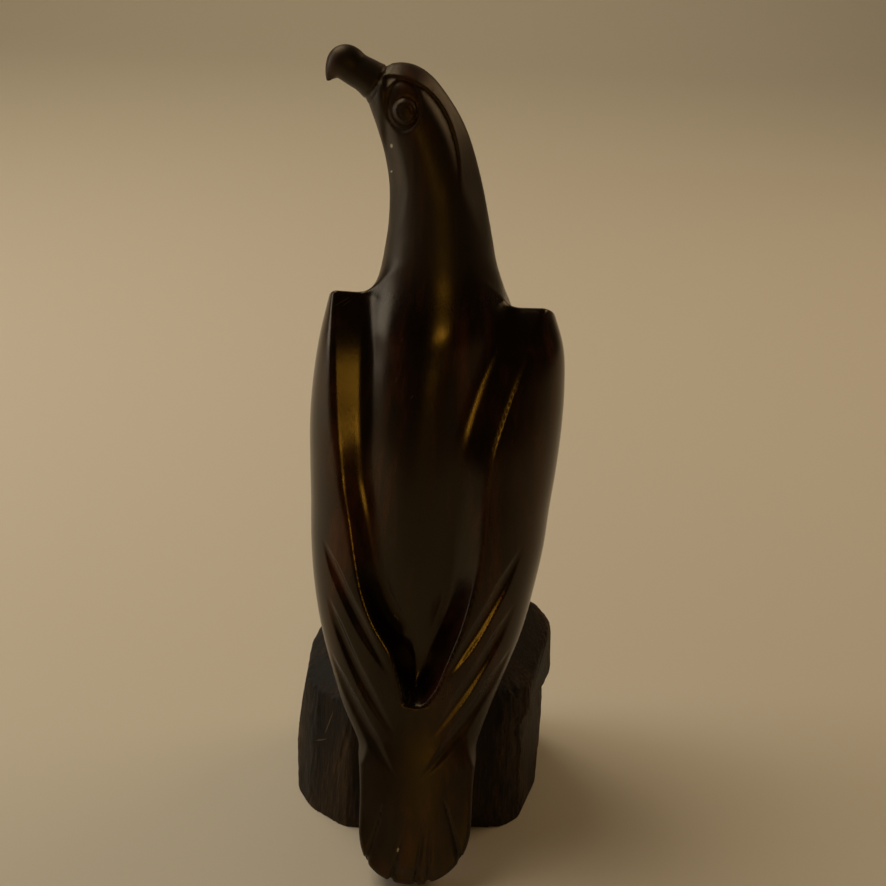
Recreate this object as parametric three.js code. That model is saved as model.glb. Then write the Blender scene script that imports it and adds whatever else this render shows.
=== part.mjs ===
// An eagle carved with its rock plinth from one block of desert ironwood. It is seen from behind along +Y:
// +X is to its right, its breast faces +Y, and the origin is the middle of the plinth's underside.
// The carving is described as one signed distance, negative inside the wood, and then faceted.
import * as THREE from "three";

// Driving dimensions, in millimetres.
const plinthWidth = 106;
const plinthDepth = 88;
const plinthHeight = 80;
const birdHeight = 225; // from the plinth's top to the top of the beak
const wingSpan = 96;
const hollowDepth = 13; // of the back between the wings, at its deepest
const ridgeRound = 1.6; // fillet left on the crisp edges by sanding
const neckBlend = 9; // fillet where the neck leaves the shoulders
const spineBlend = 7; // fillet along both sides of the spine
const tailBlend = 6; // fillet where the wings run out onto the tail
const tailWidth = 43;
const tailThickness = 11;
const tailClearance = 4.4; // from the table to the tip of the tail
const tailReach = 39; // how far the tail's tip stands behind the plinth
const featherWidth = 5.4; // of a feather groove
const featherDepth = 2.1;
const tailGrooveWidth = 3.8;
const tailGrooveDepth = 1.2;
const eyeDiameter = 10.2; // outer ring of the eye
const eyeGroove = 2; // width of the ring
const eyeDepth = 1;
const cheekRecess = 1; // how far the cheeks lie below the brow's edge
const legRadius = 8.5;
const toeRadius = 3.6;
const toeLength = 16;

// The outlines below are drawn for a bird of this height on a plinth of this height.
const drawnBird = 225;
const drawnPlinth = 80;
const drawnSpan = 96;
const grow = birdHeight / drawnBird;
const spread = wingSpan / drawnSpan / grow;

const facetCount = 8800; // triangles in the finished solid
const cell = 1.4; // spacing of the grid that the surface is found on

const lerp = THREE.MathUtils.lerp;
const clamp = THREE.MathUtils.clamp;
const smoothstep = THREE.MathUtils.smoothstep;
const radians = THREE.MathUtils.degToRad;

// A smooth curve through rows of [position, value, value ...], as a function of position and column.
function through(rows) {
  const last = rows.length - 1;
  const slope = (i, column) => {
    const before = rows[Math.max(i - 1, 0)];
    const after = rows[Math.min(i + 1, last)];
    return (after[column] - before[column]) / (after[0] - before[0]);
  };
  return (at, column = 1) => {
    if (at <= rows[0][0]) return rows[0][column];
    if (at >= rows[last][0]) return rows[last][column];
    let i = 0;
    while (rows[i + 1][0] < at) i++;
    const run = rows[i + 1][0] - rows[i][0];
    const t = (at - rows[i][0]) / run;
    const t2 = t * t;
    const t3 = t2 * t;
    return (
      (2 * t3 - 3 * t2 + 1) * rows[i][column] +
      (t3 - 2 * t2 + t) * run * slope(i, column) +
      (3 * t2 - 2 * t3) * rows[i + 1][column] +
      (t3 - t2) * run * slope(i + 1, column)
    );
  };
}

// Joins and cuts with a fillet of size k.
function smoothMin(a, b, k) {
  const h = Math.max(k - Math.abs(a - b), 0) / k;
  return Math.min(a, b) - (h * h * k) / 4;
}
const smoothMax = (a, b, k) => -smoothMin(-a, -b, k);

// Distance to an ellipse, from offsets and half-axes.
function ellipseDistance(x, y, a, b) {
  const near = Math.hypot(x / a, y / b);
  const far = Math.hypot(x / (a * a), y / (b * b));
  return far < 1e-9 ? -Math.min(a, b) : (near * (near - 1)) / far;
}

// Distance to a rod that tapers from radius ra to rb, and how far along it the nearest point is.
function rodDistance(p, a, b, ra, rb) {
  const span = [b[0] - a[0], b[1] - a[1], b[2] - a[2]];
  const gap = [p[0] - a[0], p[1] - a[1], p[2] - a[2]];
  const dot = gap[0] * span[0] + gap[1] * span[1] + gap[2] * span[2];
  const t = clamp(dot / (span[0] ** 2 + span[1] ** 2 + span[2] ** 2), 0, 1);
  return Math.hypot(gap[0] - t * span[0], gap[1] - t * span[1], gap[2] - t * span[2]) - lerp(ra, rb, t);
}

// Folded wings: height, x of the left side, x of the right side, y of the back, of the widest place
// and of the front edge.
const wingAt = through([
  [10, -14, 9, -80, -70, -64],
  [20, -18, 12.5, -76.6, -66, -60],
  [30, -20.5, 14, -73.9, -62.5, -56],
  [38, -22.5, 15.5, -71.2, -59, -51],
  [50, -26, 19.5, -67, -53, -38],
  [62, -33, 24.5, -63, -44, -24],
  [76, -38.8, 30.8, -60, -35, -10],
  [90, -43.3, 36.3, -57, -28, 1],
  [106, -46.4, 40.1, -54, -22, 10],
  [121, -47.8, 42.8, -51, -18, 16],
  [136, -48.3, 44.3, -48, -14, 19],
  [150, -48.9, 45.9, -45, -11, 20],
  [166, -49.2, 47, -42, -9, 20],
  [182, -48.2, 47.1, -38, -8, 19],
  [198, -46, 45.6, -34, -8, 17],
  [212, -43, 41, -30, -8, 12],
  [224, -40, 37, -27, -8, 6],
]);
const wingSquareness = 2.2; // above 2, a slice of the wings is fuller than an ellipse
const shoulderHeight = 223.8;
const shoulderDrop = 4; // how much lower the right shoulder sits
const shoulderFall = 0.5; // slope of the shoulders' tops toward the breast
const wingTip = 12;
const wingTipRise = 0.25;

// Hollow between the wings: height, x of the left ridge, x of the right ridge, depth as a share of
// hollowDepth, how far in from the ridge the full depth is reached, and how flat its wall is (1 is a
// plane from the ridge to the full depth, 0 a round trough).
const hollowAt = through([
  [70.5, -4.7, -4.3, 1, 4.5, 0],
  [71.1, -7.6, -1.3, 1, 4.5, 0],
  [73, -9, 0.6, 1, 5, 0],
  [78, -10.2, 3.8, 1, 6, 0],
  [85, -12.2, 6.4, 0.98, 7, 0.1],
  [92, -15, 9.1, 0.95, 8, 0.2],
  [101, -21.2, 12.3, 0.89, 9, 0.4],
  [112, -26, 15.3, 0.74, 9, 0.6],
  [123, -28.9, 17.4, 0.62, 10, 0.75],
  [138, -32.1, 18.4, 0.5, 11, 0.9],
  [150, -35.1, 18.6, 0.42, 12, 1],
  [162, -37.1, 19.2, 0.36, 13, 1],
  [172, -38.4, 21.1, 0.32, 14, 1],
  [189, -39.8, 26.5, 0.28, 15, 1],
  [206, -40.4, 33, 0.24, 16, 1],
  [222, -40.7, 40.3, 0.2, 16, 1],
]);

const hollowBottom = 70;

// Spine, the hump that runs down from the neck between the wings: height, x, half width, y of its back.
const spineAt = through([
  [66, -4.5, 4, -28],
  [80, -5.2, 7.5, -37.5],
  [95, -7.2, 11.6, -43.2],
  [110, -8, 14, -44.5],
  [130, -8.2, 15.5, -43.5],
  [155, -7.2, 17.5, -41],
  [180, -5.5, 19, -37],
  [205, -3, 21, -32],
  [228, -2, 21, -27],
]);
const spineThickness = 16;

// Breast and belly: height, half width, y of the front.
const breastAt = through([
  [78, 16, 12],
  [86, 22, 20],
  [98, 27, 27],
  [115, 31, 33],
  [135, 34, 37],
  [155, 35, 38],
  [175, 33.5, 35],
  [195, 30, 29],
  [210, 26.5, 23],
  [228, 21, 15],
]);
const breastBack = 20;
const bellyHeight = 80;

// Neck, head and beak as a chain of discs: x, height, radius in the plane of the profile, half thickness.
const neckStations = [
  [0, 176, 14, 12],
  [-0.5, 192, 20, 18],
  [-1.2, 208, 23, 20.5],
  [-2, 225, 21.1, 20],
  [-2.7, 241, 18.5, 18],
  [-4.6, 257, 16.5, 16.2],
  [-8, 270.5, 15.3, 14.8],
  [-12.4, 280.3, 13.9, 13.4],
  [-16.9, 287.3, 12.1, 11.8],
  [-21.3, 289.4, 8.3, 9],
  [-25.9, 291.9, 6.9, 7.3],
  [-29.8, 294.4, 6.1, 6.2],
  [-33.6, 296.4, 5.9, 5.3],
  [-37.2, 298.7, 6.1, 4.7],
  [-39.7, 297.7, 4.4, 3.8],
  [-41.2, 296.2, 3.1, 2.7],
  [-42.3, 294.7, 2, 1.8],
  [-43.3, 292.8, 0.8, 0.8],
];
const neckMiddle = -6; // y of the neck's middle
const neckDiscs = [];
const discsBetween = 8;
const neckAt = through(neckStations.map((row, i) => [i, ...row]));
for (let i = 0; i <= (neckStations.length - 1) * discsBetween; i++) {
  neckDiscs.push([1, 2, 3, 4].map((column) => neckAt(i / discsBetween, column)));
}
const eyePlace = [-15.9, 284.9];
// The brow's edge is an ellipse in profile: x and height of its middle, and half-axes. The cheek lies inside.
const brow = [-20, 261, 24, 34.8];

// Grooves between the wing feathers, each a bow through three points of [x, height] in the view from behind.
const featherGrooves = [
  [[-42.4, 128], [-30.6, 107], [-13.8, 81]],
  [[-40, 107.5], [-27.8, 82.5], [-10.2, 56.8]],
  [[-38.4, 84], [-24.6, 62], [-8.6, 40.5]],
  [[34, 130.5], [20.4, 104], [5, 79]],
  [[32.2, 107.5], [18.6, 83], [1, 57]],
  [[31.6, 88], [17.6, 66.5], [-3.6, 41]],
];
// Grooves that fan over the tail, each from [x, z] to [x, z].
const tailGrooves = [
  [[-15.2, 32.5], [-20, 14]],
  [[-7.4, 22.5], [-10.4, 8]],
  [[0.8, 28.5], [-1.4, 6]],
  [[3.4, 25], [3.3, 8]],
  [[8.4, 35], [14, 17]],
];

// Hewn faces of the plinth: the way it faces in degrees round from -Y toward +X, lean in degrees
// (positive is sloping back as it rises), distance from the origin's axis at the table as a share of half
// the depth or half the width, whichever it faces, and how much of the ledge it has.
const hewnFaces = [
  [-7, 4, 1.1, 0],
  [5, 7, 1.0, 0],
  [-38, 6, 1.17, 0],
  [-62, 4, 1.12, 0],
  [-86, -2, 1.03, 0],
  [-90, 8, 1.09, 0],
  [-118, 7, 1.02, 0],
  [-150, 5, 1.0, 0],
  [178, 7, 0.96, 0],
  [150, 4, 1.02, 0],
  [118, 3, 1.03, 0],
  [92, -4, 0.9, 1],
  [88, 3, 0.96, 1],
  [72, 3, 0.93, 0.6],
  [40, 6, 1.1, 0.3],
];
const ledgeHeight = 46;
const ledgeDepth = 3.6; // how far the right side stands out above its ledge
// Hewn faces round the plinth's top: the way it faces, lean, share of the half width at which it stands
// out, and height there.
const hewnTops = [
  [82, 28, 0.95, 67],
  [46, 50, 0.86, 64],
  [116, 36, 0.96, 69],
  [-80, 50, 0.88, 62],
  [-40, 56, 0.75, 64],
  [-140, 56, 0.75, 66],
  [170, 62, 0.6, 72],
];

// Each hewn face as the plane nx, ny, nz, offset.
function hewnPlane(turn, lean, share, height, ledge) {
  const a = radians(turn);
  const tip = radians(lean);
  const normal = [Math.sin(a) * Math.cos(tip), -Math.cos(a) * Math.cos(tip), Math.sin(tip)];
  const reach = (share * lerp(plinthDepth, plinthWidth, Math.sin(a) ** 2)) / 2;
  const up = (height * plinthHeight) / drawnPlinth;
  return [...normal, reach * Math.cos(tip) + up * Math.sin(tip), ledge * ledgeDepth];
}
const hewnPlanes = [
  ...hewnFaces.map(([turn, lean, share, ledge]) => hewnPlane(turn, lean, share, 0, ledge)),
  ...hewnTops.map(([turn, lean, share, height]) => hewnPlane(turn, lean, share, height, 0)),
];

function hewnDistance(x, y, z) {
  let d = z - plinthHeight;
  const out = smoothstep(z, ledgeHeight - 3, ledgeHeight + 2);
  for (const [nx, ny, nz, offset, ledge] of hewnPlanes) {
    d = smoothMax(d, x * nx + y * ny + z * nz - offset - ledge * out, ridgeRound);
  }
  return Math.max(d, -z);
}

// A groove's bow laid on the back of the wings, as a chain of points.
const bowPieces = 10;
function layBow([a, b, c]) {
  const chain = [];
  for (let i = 0; i <= bowPieces; i++) {
    const t = i / bowPieces;
    const [x, h] = [0, 1].map((k) => {
      const pull = 2 * b[k] - (a[k] + c[k]) / 2;
      return (1 - t) ** 2 * a[k] + 2 * t * (1 - t) * pull + t * t * c[k];
    });
    chain.push([x * spread, backOfWings(x * spread, h), h]);
  }
  return chain;
}

// Distance to such a chain, and how far along it the nearest point is.
function chainDistance(p, chain) {
  let best = [1e9, 0];
  for (let i = 0; i < chain.length - 1; i++) {
    const [a, b] = [chain[i], chain[i + 1]];
    const run = [b[0] - a[0], b[1] - a[1], b[2] - a[2]];
    const gap = [p[0] - a[0], p[1] - a[1], p[2] - a[2]];
    const along = gap[0] * run[0] + gap[1] * run[1] + gap[2] * run[2];
    const s = clamp(along / (run[0] ** 2 + run[1] ** 2 + run[2] ** 2), 0, 1);
    const away = Math.hypot(gap[0] - s * run[0], gap[1] - s * run[1], gap[2] - s * run[2]);
    if (away < best[0]) best = [away, (i + s) / (chain.length - 1)];
  }
  return best;
}

const grooveShape = (away, width) => (away < width / 2 ? (1 - ((2 * away) / width) ** 2) ** 2 : 0);

// y of the wings' back at x, on the envelope that the hollow is cut into.
function backOfWings(x, h) {
  const [left, right, back, middle] = [1, 2, 3, 4].map((c) => wingAt(h, c));
  const half = ((right - left) * spread) / 2;
  const u = Math.min(Math.abs(x - ((right + left) * spread) / 2) / half, 0.97);
  return middle - (middle - back) * (1 - u ** wingSquareness) ** (1 / wingSquareness);
}
const featherChains = featherGrooves.map(layBow);

function wingsSlice(h) {
  const [left, right, back, middle, front] = [1, 2, 3, 4, 5].map((c) => wingAt(h, c));
  const half = ((right - left) * spread) / 2;
  const centre = ((right + left) * spread) / 2;
  const n = wingSquareness;
  const [l, r] = [1, 2].map((c) => hollowAt(h, c) * spread);
  const yl = backOfWings(l, h);
  const yr = backOfWings(r, h);
  const deep = (hollowAt(h, 3) * hollowDepth) / grow;
  const run = hollowAt(h, 4);
  const flat = hollowAt(h, 5);
  const step = 0.5;
  const uprightL = 1 / Math.hypot(1, ((hollowAt(h + step, 1) - hollowAt(h - step, 1)) * spread) / (2 * step));
  const uprightR = 1 / Math.hypot(1, ((hollowAt(h + step, 2) - hollowAt(h - step, 2)) * spread) / (2 * step));
  const round = clamp((r - l) / 4, 0.2, 6);
  return (x, y) => {
    const w = y - middle;
    const depth = w < 0 ? middle - back : front - middle;
    const U = Math.abs(x - centre) / half;
    const V = Math.abs(w) / depth;
    const size = (U ** n + V ** n) ** (1 / n);
    const slope = size ** (1 - n) * Math.hypot(U ** (n - 1) / half, V ** (n - 1) / depth);
    let d = size < 1e-6 ? -half : (size - 1) / slope;
    const drop = shoulderDrop * smoothstep(x, -20, 20);
    const top = (h - shoulderHeight + drop + shoulderFall * (y + 24)) / Math.hypot(1, shoulderFall);
    d = smoothMax(d, top, ridgeRound);
    d = smoothMax(d, (wingTip + wingTipRise * Math.abs(x + 3) - h) * 0.85, 2);
    const inside = smoothMin((x - l) * uprightL, (r - x) * uprightR, round);
    const t = clamp(inside / run, 0, 1);
    const rim = lerp(yl, yr, clamp((x - l) / (r - l + 1e-6), 0, 1));
    const wall = lerp(1 - (1 - t) ** 2, t, flat);
    const hollow = Math.max(-inside, (y - rim - deep * wall) * 0.8);
    return h < hollowBottom ? d : smoothMax(d, -hollow, ridgeRound);
  };
}

function neckDistance(x, y, h) {
  let d = 1e9;
  for (const [cx, cz, radius, thick] of neckDiscs) {
    const away = Math.hypot(x - cx, h - cz);
    if (away - radius > d + 4) continue;
    const near = Math.hypot(away / radius, (y - neckMiddle) / thick);
    const far = Math.hypot(away / (radius * radius), (y - neckMiddle) / (thick * thick));
    d = Math.min(d, far < 1e-9 ? -Math.min(radius, thick) : (near * (near - 1)) / far);
  }
  if (h > 245 && Math.abs(d) < 4) {
    const below = -ellipseDistance(x - brow[0], h - brow[1], brow[2], brow[3]);
    const side = Math.abs(y - neckMiddle);
    const onSide = smoothstep(side, 3, 7) * smoothstep(x, -25, -22) * smoothstep(h, 252, 274);
    const cheek = smoothstep(below, -0.9, 0.9) * onSide;
    d += cheekRecess * cheek * (1 - smoothstep(below, 5, 14) * 0.7);
    const away = Math.hypot(x - eyePlace[0], h - eyePlace[1]);
    const ring = grooveShape(Math.abs(away - (eyeDiameter - eyeGroove) / 2), eyeGroove);
    d += smoothstep(side, 3, 6) * (eyeDepth * ring - 0.9 * cheekRecess * (1 - smoothstep(away, 2.4, 4.4)));
  }
  return d;
}

function birdSlice(h) {
  const wings = wingsSlice(h);
  const [spineX, spineHalf, spineBack] = [1, 2, 3].map((c) => spineAt(h, c));
  const [breastHalf, breastFront] = [1, 2].map((c) => breastAt(h, c));
  return (x, y) => {
    let d = wings(x, y);
    const offset = ellipseDistance(x - spineX * spread, y - spineBack - spineThickness, spineHalf, spineThickness);
    const spine = smoothMax(Math.max(offset, 68 - h), h - 226, 24);
    const chest = ellipseDistance(x, y, breastHalf * spread, y > 0 ? breastFront : breastBack);
    const breast = smoothMax(smoothMax(chest, bellyHeight - h, 6), h - 224, 24);
    d = smoothMin(d, breast, 2);
    d = smoothMin(d, spine, spineBlend);
    if (h > 160) d = smoothMin(d, neckDistance(x, y, h), neckBlend);
    return d;
  };
}

// The tail: a slab leaning out from the wings' tips to its own rounded tip.
const tailTop = [-60, 60];
const tailTip = [-(plinthDepth / 2 + tailReach), tailClearance];
const tailX = -2.6;
const tailLength = Math.hypot(tailTop[0] - tailTip[0], tailTop[1] - tailTip[1]);
const tailRoundness = 23; // length of the rounded end

function tailDistance(x, y, z) {
  const ay = (tailTop[0] - tailTip[0]) / tailLength;
  const az = (tailTop[1] - tailTip[1]) / tailLength;
  const along = (y - tailTip[0]) * ay + (z - tailTip[1]) * az;
  const off = (y - tailTip[0]) * az - (z - tailTip[1]) * ay;
  const across = Math.abs(x - tailX);
  const half = tailWidth / 2;
  const over = Math.max(tailRoundness - along, 0);
  const underWings = Math.max(z - 46, 0) * 0.6;
  const outline = over > 0 ? ellipseDistance(across, over, half, tailRoundness) : across - half + underWings;
  const crown = 1.6 * (across / half) ** 2 + 0.03 * Math.max(z - 46, 0) ** 2;
  let d = smoothMax(outline, Math.max(crown - off, off - tailThickness), ridgeRound);
  d = Math.max(d, along - tailLength);
  return d;
}

// How deep the feather grooves cut at a place on the bird's back, and the fan of grooves on the tail.
function featherCut(x, y, h) {
  let cut = 0;
  for (const chain of featherChains) {
    const [away, along] = chainDistance([x, y, h], chain);
    const fade = smoothstep(along, 0, 0.3) * (1 - smoothstep(along, 0.6, 1));
    if (fade > 0.01) cut += featherDepth * fade * grooveShape(away, featherWidth * lerp(0.5, 1, fade));
  }
  return cut;
}
function tailCut(x, z) {
  let cut = 0;
  for (const [a, b] of tailGrooves) {
    const away = rodDistance([x, z, 0], [...a, 0], [...b, 0], -0.9, 0);
    cut += tailGrooveDepth * grooveShape(away, tailGrooveWidth);
  }
  return cut;
}

// The wood left standing between the tail and the plinth.
function webDistance(x, y, z) {
  const t = clamp((z - tailTip[1]) / (tailTop[1] - tailTip[1]), 0, 1);
  const back = lerp(tailTip[0], tailTop[0], t) + tailThickness * 0.6;
  const half = 15;
  const low = 8 + (-y - plinthDepth / 2) * 0.2;
  return smoothMax(
    Math.max(Math.abs(x - tailX) - half, back - y, y + 30),
    Math.max(low - z, z - 62),
    3,
  );
}

function feetDistance(x, y, z) {
  const top = plinthHeight;
  const side = Math.abs(x);
  let d = rodDistance([side, y, z], [15, 4, top + 24], [17, 14, top + 1], legRadius + 3, legRadius);
  for (const turn of [-32, 4, 38]) {
    const a = radians(turn);
    const end = [17 + toeLength * Math.sin(a), 15 + toeLength * Math.cos(a), top - 5];
    d = smoothMin(d, rodDistance([side, y, z], [17, 15, top + 1], end, toeRadius + 0.6, toeRadius), 2);
  }
  return d;
}

// Signed distance at height z, as a function of x and y.
function carvingSlice(z) {
  const h = (z - plinthHeight) / grow + drawnPlinth;
  const bird = birdSlice(h);
  return (x, y) => {
    let d = h > 8 ? bird(x / grow, y / grow) * grow : 1e3;
    if (z < 70) d = smoothMin(d, tailDistance(x, y, z), tailBlend);
    if (h < 140 && h > 34 && Math.abs(d) < 6 && y < -8) d += featherCut(x / grow, y / grow, h) * grow;
    if (z < 40 && Math.abs(d) < 4 && y < tailTip[0] + z * 0.42 + 3) d += tailCut(x, z);
    if (z < 84) d = smoothMin(d, hewnDistance(x, y, z), 1.5);
    if (z < 70) d = smoothMin(d, webDistance(x, y, z), 2);
    if (z > 60 && z < 125 && y > -14) d = smoothMin(d, feetDistance(x, y, z), 3);
    return d;
  };
}

// Values of the field on a grid of cells; whole blocks far from the surface are filled at once.
const corner = [-(plinthWidth / 2 + 10), tailTip[0] - 8, -3.2];
const blockSize = 2 << 3;
const room = [plinthWidth / 2 + 10, plinthDepth / 2 + 8, plinthHeight + birdHeight + 6];
const size = [0, 1, 2].map((k) => Math.ceil((room[k] - corner[k]) / cell / blockSize) * blockSize);
const values = new Float32Array(size[0] * size[1] * size[2]);
const slices = new Map();
const slice = (z) => {
  if (!slices.has(z)) slices.set(z, carvingSlice(z));
  return slices.get(z);
};
const node = (i, j, k) => (k * size[1] + j) * size[0] + i;
const placeOf = (i, axis) => corner[axis] + i * cell;
const sample = (i, j, k) => slice(placeOf(k, 2))(placeOf(i, 0), placeOf(j, 1));

function fill(i0, j0, k0, n) {
  const middle = sample(i0 + n / 2, j0 + n / 2, k0 + n / 2);
  const far = Math.abs(middle) > n * cell * 1.5;
  if (far || n === 2) {
    for (let k = k0; k < k0 + n; k++) {
      for (let j = j0; j < j0 + n; j++) {
        for (let i = i0; i < i0 + n; i++) values[node(i, j, k)] = far ? middle : sample(i, j, k);
      }
    }
    return;
  }
  const m = n / 2;
  for (let c = 0; c < 8; c++) fill(i0 + (c & 1) * m, j0 + ((c >> 1) & 1) * m, k0 + (c >> 2) * m, m);
}
for (let k = 0; k < size[2]; k += blockSize) {
  for (let j = 0; j < size[1]; j += blockSize) {
    for (let i = 0; i < size[0]; i += blockSize) fill(i, j, k, blockSize);
  }
}

// Wood is added at single nodes until each cell holds one piece of wood and one of air, so that
// the surface never touches itself.
const corners = [...Array(8).keys()];
const oneSide = (inside) => {
  if (!inside.length) return true;
  const reached = new Set([inside[0]]);
  for (const c of reached) for (const bit of [1, 2, 4]) if (inside.includes(c ^ bit)) reached.add(c ^ bit);
  return reached.size === inside.length;
};
const tangled = [...Array(256).keys()].map((bits) => {
  const inside = corners.filter((c) => bits & (1 << c));
  const outside = corners.filter((c) => !(bits & (1 << c)));
  return !oneSide(inside) || !oneSide(outside);
});
for (let changed = true; changed; ) {
  changed = false;
  for (let k = 0; k < size[2] - 1; k++) {
    for (let j = 0; j < size[1] - 1; j++) {
      for (let i = 0; i < size[0] - 1; i++) {
        let bits = 0;
        let nearest = -1;
        for (let c = 0; c < 8; c++) {
          const o = node(i + (c & 1), j + ((c >> 1) & 1), k + (c >> 2));
          if (values[o] < 0) bits |= 1 << c;
          else if (nearest < 0 || values[o] < values[nearest]) nearest = o;
        }
        if (!tangled[bits]) continue;
        values[nearest] = -0.02;
        changed = true;
      }
    }
  }
}

// Where the surface crosses the grid's lines, with the direction it faces there.
function facing(x, y, z) {
  const e = 0.05;
  const here = carvingSlice(z);
  const d = here(x, y);
  const n = [here(x + e, y) - d, here(x, y + e) - d, carvingSlice(z + e)(x, y) - d];
  const length = Math.hypot(...n);
  return n.map((v) => v / length);
}
const stride = [1, size[0], size[0] * size[1]];
const crossings = [new Map(), new Map(), new Map()];
for (let k = 0; k < size[2] - 1; k++) {
  for (let j = 0; j < size[1] - 1; j++) {
    for (let i = 0; i < size[0] - 1; i++) {
      const o = node(i, j, k);
      for (let axis = 0; axis < 3; axis++) {
        const a = values[o];
        const b = values[o + stride[axis]];
        if (a < 0 === b < 0) continue;
        const p = [placeOf(i, 0), placeOf(j, 1), placeOf(k, 2)];
        p[axis] += (cell * a) / (a - b);
        crossings[axis].set(o, [p, facing(...p)]);
      }
    }
  }
}

// One vertex in each crossed cell, where the tangent planes of its crossings meet best.
const vertices = [];
const cellVertex = new Int32Array(values.length).fill(-1);
const cellEdges = [];
for (let axis = 0; axis < 3; axis++) {
  const [p, q] = [stride[(axis + 1) % 3], stride[(axis + 2) % 3]];
  for (const shift of [0, p, q, p + q]) cellEdges.push([axis, shift]);
}
function meetingPoint(hits) {
  const mean = [0, 1, 2].map((c) => hits.reduce((sum, hit) => sum + hit[0][c], 0) / hits.length);
  const hold = 0.06 * hits.length; // pull toward the mean, where the planes leave a direction open
  const m = [[hold, 0, 0], [0, hold, 0], [0, 0, hold]];
  const right = [0, 0, 0];
  for (const [p, n] of hits) {
    const off = n[0] * (p[0] - mean[0]) + n[1] * (p[1] - mean[1]) + n[2] * (p[2] - mean[2]);
    for (let r = 0; r < 3; r++) {
      right[r] += n[r] * off;
      for (let c = 0; c < 3; c++) m[r][c] += n[r] * n[c];
    }
  }
  const move = solve3(m, right);
  return mean.map((v, c) => v + clamp(move[c], -cell * 0.6, cell * 0.6));
}
function solve3(m, right) {
  const minor = (a, b, c, d) => m[a][b] * m[c][d] - m[a][d] * m[c][b];
  const [x, y, z] = [minor(1, 1, 2, 2), minor(1, 2, 2, 0), minor(1, 0, 2, 1)];
  const whole = m[0][0] * x + m[0][1] * y + m[0][2] * z;
  if (Math.abs(whole) < 1e-9) return [0, 0, 0];
  const swap = (column) => m.map((row, r) => row.map((v, c) => (c === column ? right[r] : v)));
  const det = (n) =>
    n[0][0] * (n[1][1] * n[2][2] - n[1][2] * n[2][1]) -
    n[0][1] * (n[1][0] * n[2][2] - n[1][2] * n[2][0]) +
    n[0][2] * (n[1][0] * n[2][1] - n[1][1] * n[2][0]);
  return [0, 1, 2].map((column) => det(swap(column)) / whole);
}
for (let k = 0; k < size[2] - 1; k++) {
  for (let j = 0; j < size[1] - 1; j++) {
    for (let i = 0; i < size[0] - 1; i++) {
      const o = node(i, j, k);
      const hits = [];
      for (const [axis, shift] of cellEdges) {
        const hit = crossings[axis].get(o + shift);
        if (hit) hits.push(hit);
      }
      if (!hits.length) continue;
      cellVertex[o] = vertices.length;
      vertices.push(meetingPoint(hits));
    }
  }
}
const triangles = [];
for (let axis = 0; axis < 3; axis++) {
  const [p, q] = [stride[(axis + 1) % 3], stride[(axis + 2) % 3]];
  for (const o of crossings[axis].keys()) {
    const ring = [o, o - p, o - p - q, o - q].map((c) => cellVertex[c]);
    if (values[o] >= 0) ring.reverse();
    triangles.push([ring[0], ring[1], ring[2]], [ring[0], ring[2], ring[3]]);
  }
}

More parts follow.
